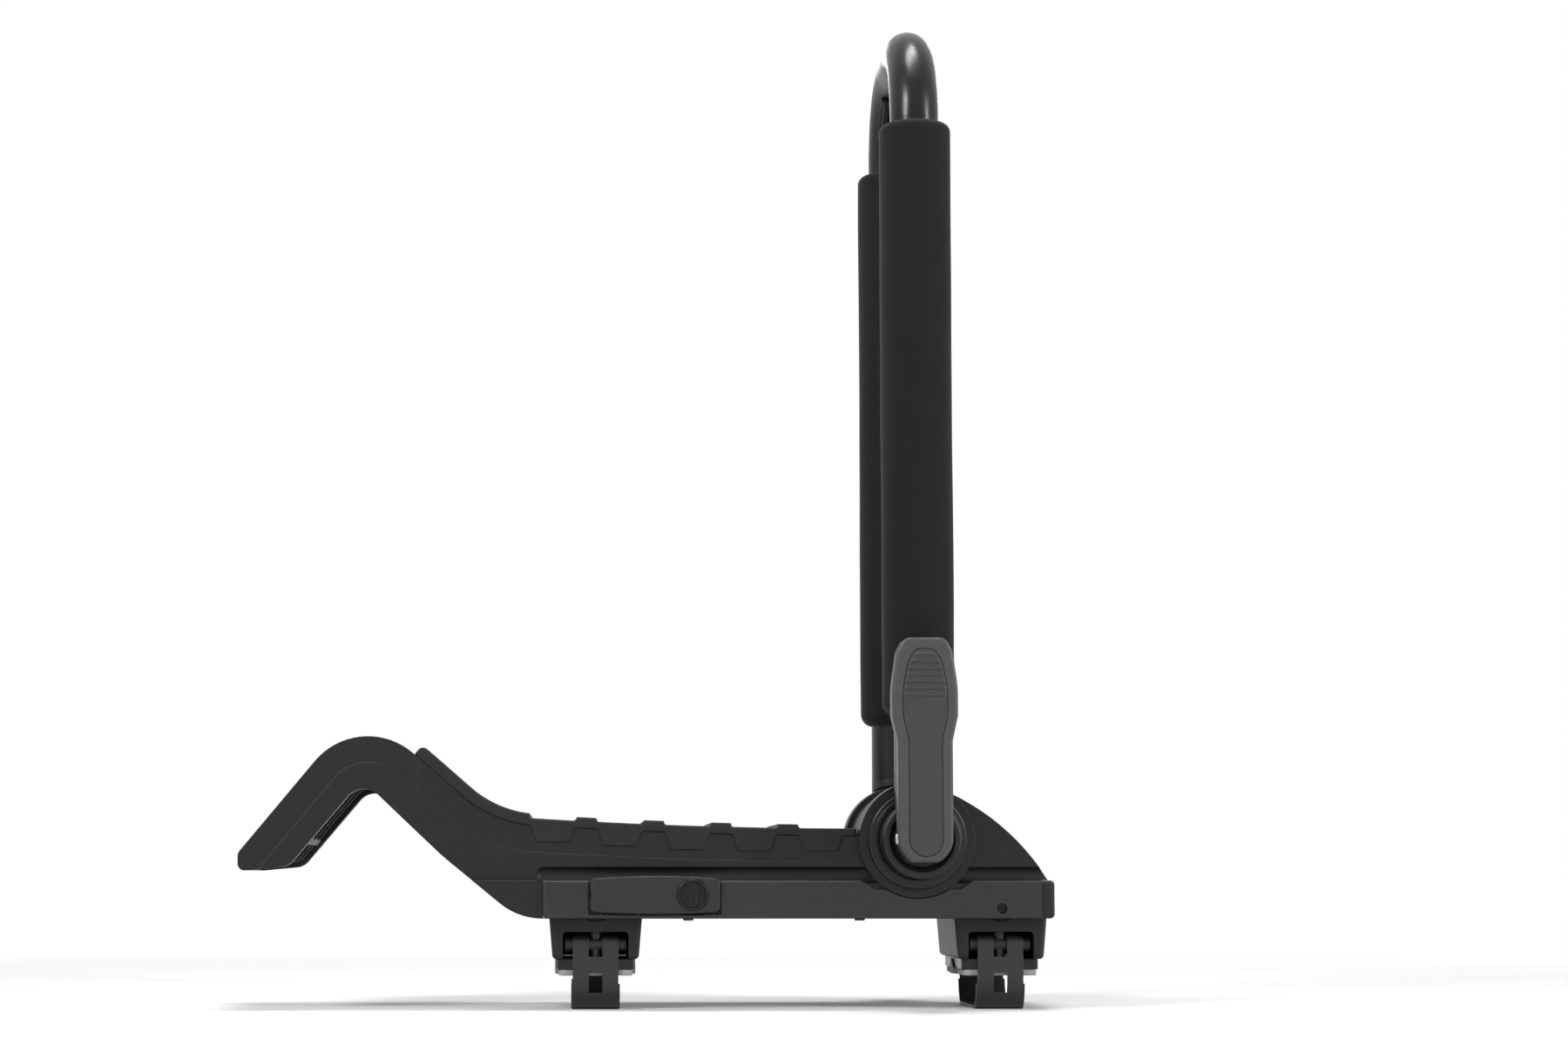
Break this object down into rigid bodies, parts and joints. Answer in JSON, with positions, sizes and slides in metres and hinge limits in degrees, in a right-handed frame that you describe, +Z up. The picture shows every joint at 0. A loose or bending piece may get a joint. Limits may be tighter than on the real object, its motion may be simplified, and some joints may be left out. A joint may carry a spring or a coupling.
{
  "type": "folding roof rack cradle",
  "caption": "Roof crossbar carrier: moulded saddle with a hooked end, a folding padded U arm with a cam lever, a locking cover and strap clamps under a rail.",
  "frame": {"origin": "centre of the left clamp's crossbar seat, on the underside of its rubber pad", "axes": "+X along the crossbar from the hook towards the folding arm, +Y away from the lever and lock side, +Z up"},
  "size_m": [0.5342, 0.2173, 0.6604],
  "materials": {
    "body_plastic": "black glass-filled nylon, fine moulded texture",
    "pad_rubber": "black moulded rubber, matt",
    "rail_aluminium": "black anodised, satin",
    "gloss_tube": "gloss black powder coat on steel tube",
    "coated_casting": "die casting with a black coat",
    "foam": null,
    "hub_plastic": "black, satin",
    "bearing_plastic": "natural acetal",
    "zinc_steel": "bright zinc plate",
    "blackened_steel": "steel with a black finish",
    "lever_plastic": "mid grey glass-filled nylon",
    "insert_rubber": "dark soft-touch panel",
    "coated_strap": "spring steel strap with a dark grey coat",
    "bar_pad_rubber": "pale grey rubber",
    "cover_plastic": "black, fine moulded texture",
    "lock_black": "black coated lock parts"
  },
  "bodies": {
    "base": {"saddle_shell": "body_plastic", "saddle_pad": "pad_rubber", "base_rail": "rail_aluminium", "rail_end_cap": "body_plastic", "rail_screws": "blackened_steel", "housing_screws": "blackened_steel", "pivot_sleeve": "bearing_plastic", "hub_ring_front": "hub_plastic", "hub_ring_rear": "hub_plastic", "friction_disc_front": "bearing_plastic", "friction_disc_rear": "bearing_plastic", "cover_hinge": "zinc_steel", "cover_hinge_pin": "zinc_steel", "clamp_housing_left": "body_plastic", "clamp_block_left": "hub_plastic", "bar_pad_left": "bar_pad_rubber", "thrust_washer_left": "blackened_steel", "strap_anchor_left": "blackened_steel", "clamp_housing_right": "body_plastic", "clamp_block_right": "hub_plastic", "bar_pad_right": "bar_pad_rubber", "thrust_washer_right": "blackened_steel", "strap_anchor_right": "blackened_steel"},
    "arm": {"arm_tube": "gloss_tube", "leg_rivets": "blackened_steel", "strap_keeper": "body_plastic", "cam_seat": "blackened_steel", "rear_bowl_plug": "hub_plastic", "knuckle_front": "coated_casting", "knuckle_rear": "coated_casting", "foam_sleeve_front": "foam", "foam_sleeve_rear": "foam"},
    "draw_rod": {"pivot_rod": "zinc_steel", "cross_pin": "zinc_steel", "end_washer": "zinc_steel", "end_nut": "zinc_steel"},
    "lever": {"lever": "lever_plastic", "lever_insert": "insert_rubber"},
    "cover": {"lock_cover": "cover_plastic", "lock_bezel": "lock_black"},
    "lock": {"lock_plug": "lock_black", "lock_tongue": "zinc_steel"},
    "strap_left": {"strap_left": "coated_strap", "barrel_nut_left": "blackened_steel"},
    "strap_right": {"strap_right": "coated_strap", "barrel_nut_right": "blackened_steel"},
    "bolt_left": {"tension_bolt_left": "blackened_steel"},
    "bolt_right": {"tension_bolt_right": "blackened_steel"}
  },
  "joints": [
    {"name": "arm_fold", "type": "hinge", "parent": "base", "child": "arm", "pos_m": [0.2105, 0, 0.089], "axis": [0, -1, 0], "range_deg": [-20, 68]},
    {"name": "rod_draw", "type": "slide", "parent": "arm", "child": "draw_rod", "axis": [0, 1, 0], "range_m": [0, 0.0015]},
    {"name": "lever_open", "type": "hinge", "parent": "draw_rod", "child": "lever", "pos_m": [0.2105, -0.1016, 0.089], "axis": [1, 0, 0], "range_deg": [0, 90]},
    {"name": "cover_open", "type": "hinge", "parent": "base", "child": "cover", "pos_m": [-0.0004, -0.064, 0.053], "axis": [0, 0, -1], "range_deg": [0, 100]},
    {"name": "lock_turn", "type": "hinge", "parent": "cover", "child": "lock", "pos_m": [0.0632, -0.0677, 0.0531], "axis": [0, 1, 0], "range_deg": [0, 90]},
    {"name": "strap_left_lift", "type": "slide", "parent": "base", "child": "strap_left", "axis": [0, 0, 1], "range_m": [-0.004, 0.003]},
    {"name": "bolt_left_turn", "type": "hinge", "parent": "base", "child": "bolt_left", "pos_m": [0, -0.0401, 0.03], "axis": [0, 0, -1], "range_deg": [-1152, 864]},
    {"name": "strap_right_lift", "type": "slide", "parent": "base", "child": "strap_right", "axis": [0, 0, 1], "range_m": [-0.004, 0.003]},
    {"name": "bolt_right_turn", "type": "hinge", "parent": "base", "child": "bolt_right", "pos_m": [0.2665, -0.0401, 0.03], "axis": [0, 0, -1], "range_deg": [-1152, 864]}
  ],
  "couplings": [
    {"joint": "rod_draw", "follows": "lever_open", "m_per_rad": 0.00095},
    {"joint": "bolt_left_turn", "follows": "strap_left_lift", "rad_per_m": 5026.5},
    {"joint": "bolt_right_turn", "follows": "strap_right_lift", "rad_per_m": 5026.5}
  ]
}
